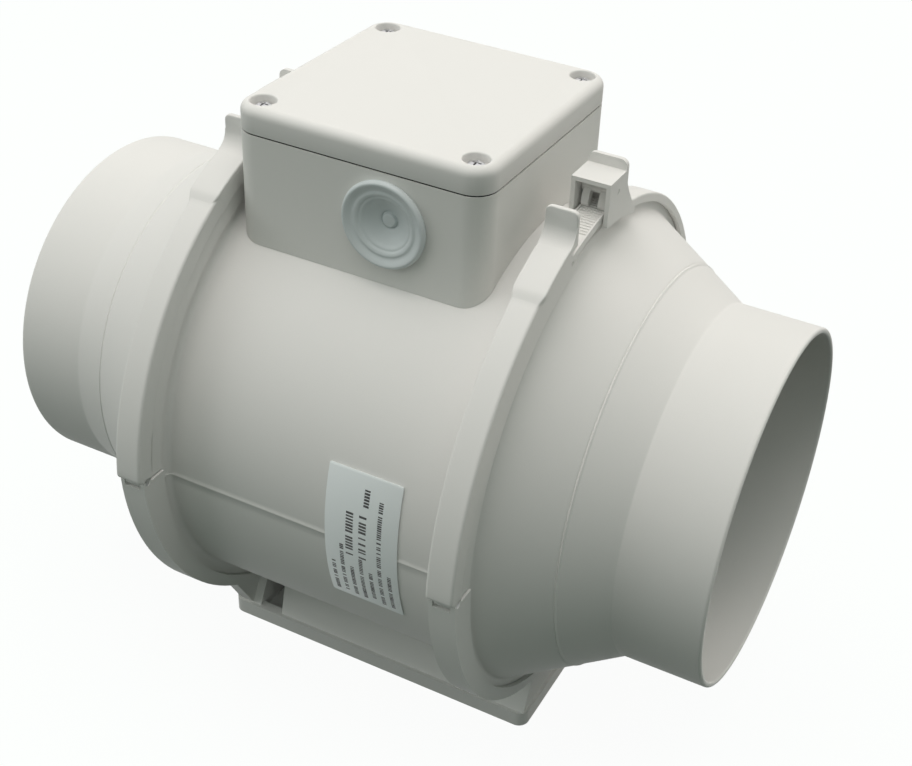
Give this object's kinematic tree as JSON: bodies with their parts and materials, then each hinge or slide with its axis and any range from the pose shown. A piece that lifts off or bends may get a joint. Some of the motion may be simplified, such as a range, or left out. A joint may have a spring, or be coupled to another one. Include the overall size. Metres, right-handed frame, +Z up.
{
  "type": "inline duct fan",
  "caption": "Inline mixed-flow duct fan with two round spigots, a removable fan module held by hinged clamp straps in a foot cradle, and a terminal box on top.",
  "frame": {"origin": "on the floor under the middle of the duct's length, below the duct axis: the bottom centre of the bounding box", "axes": "+X along the duct with the air flow, -Y the front with the cable entry, +Z up"},
  "size_m": [0.258, 0.1964, 0.2154],
  "materials": {
    "white_plastic": "fine moulded satin, warm white",
    "box_plastic": "fine moulded satin, slightly greyer white",
    "inner_plastic": "moulded, light grey",
    "impeller_plastic": "moulded, dark grey",
    "block_plastic": "moulded, ivory",
    "seal_rubber": "soft black rubber",
    "lead_rubber": "sleeved leads, dark grey",
    "grommet_rubber": "soft bluish grey rubber",
    "motor_aluminium": "die cast",
    "core_steel": "stacked laminations",
    "bearing_steel": "ground",
    "screw_steel": "zinc plated",
    "winding_copper": "enamelled copper wire",
    "terminal_brass": "plated brass",
    "label_film": "pale grey film"
  },
  "bodies": {
    "frame": {"foot_cradle": "white_plastic", "casing": "white_plastic", "inlet_cone": "white_plastic", "outlet_cone": "white_plastic", "inlet_seal": "seal_rubber", "outlet_seal": "seal_rubber", "guide_vanes": "inner_plastic", "motor_housing": "motor_aluminium", "motor_end_cap": "motor_aluminium", "motor_screws": "screw_steel", "stator_core": "core_steel", "windings": "winding_copper", "front_bearing": "bearing_steel", "rear_bearing": "bearing_steel", "tail_cone": "inner_plastic", "motor_leads": "lead_rubber", "terminal_box": "box_plastic", "cable_grommet": "grommet_rubber", "terminal_block": "block_plastic", "terminal_screws": "terminal_brass", "capacitor": "block_plastic", "cord_clamp": "inner_plastic", "cord_clamp_screws": "screw_steel", "strap_hinge_pins": "screw_steel", "rating_label": "label_film"},
    "rotor": {"impeller": "impeller_plastic", "impeller_nut": "screw_steel", "motor_shaft": "bearing_steel", "rotor_core": "core_steel"},
    "lid": {"box_lid": "white_plastic", "lid_gasket": "seal_rubber", "lid_screws": "screw_steel"},
    "inlet_front": {"inlet_strap_front": "white_plastic"},
    "inlet_rear": {"inlet_strap_rear": "white_plastic"},
    "inlet_pawl": {"inlet_latch_pawl": "white_plastic"},
    "outlet_front": {"outlet_strap_front": "white_plastic"},
    "outlet_rear": {"outlet_strap_rear": "white_plastic"},
    "outlet_pawl": {"outlet_latch_pawl": "white_plastic"}
  },
  "joints": [
    {"name": "impeller_spin", "type": "hinge", "parent": "frame", "child": "rotor", "pos_m": [0, 0, 0.1], "axis": [1, 0, 0], "continuous": true},
    {"name": "lid_lift", "type": "slide", "parent": "frame", "child": "lid", "axis": [0, 0, 1], "range_m": [0, 0.03]},
    {"name": "inlet_strap_open", "type": "hinge", "parent": "frame", "child": "inlet_front", "pos_m": [0, -0.09417, 0.1028], "axis": [1, 0, 0], "range_deg": [0, 50]},
    {"name": "inlet_rear_open", "type": "hinge", "parent": "frame", "child": "inlet_rear", "pos_m": [0, 0.09417, 0.1028], "axis": [1, 0, 0], "range_deg": [-50, 0]},
    {"name": "outlet_strap_open", "type": "hinge", "parent": "frame", "child": "outlet_front", "pos_m": [0, -0.09417, 0.1028], "axis": [1, 0, 0], "range_deg": [0, 50]},
    {"name": "outlet_rear_open", "type": "hinge", "parent": "frame", "child": "outlet_rear", "pos_m": [0, 0.09417, 0.1028], "axis": [1, 0, 0], "range_deg": [-50, 0]},
    {"name": "inlet_pawl_release", "type": "hinge", "parent": "inlet_rear", "child": "inlet_pawl", "pos_m": [0, -0.0036, 0.1993], "axis": [-1, 0, 0], "range_deg": [0, 9], "stiffness_Nm_per_rad": 0.02},
    {"name": "outlet_pawl_release", "type": "hinge", "parent": "outlet_rear", "child": "outlet_pawl", "pos_m": [0, -0.0036, 0.1993], "axis": [-1, 0, 0], "range_deg": [0, 9], "stiffness_Nm_per_rad": 0.02}
  ],
  "couplings": [
    {"joint": "inlet_rear_open", "follows": "inlet_strap_open", "ratio": -1},
    {"joint": "outlet_rear_open", "follows": "outlet_strap_open", "ratio": -1}
  ]
}
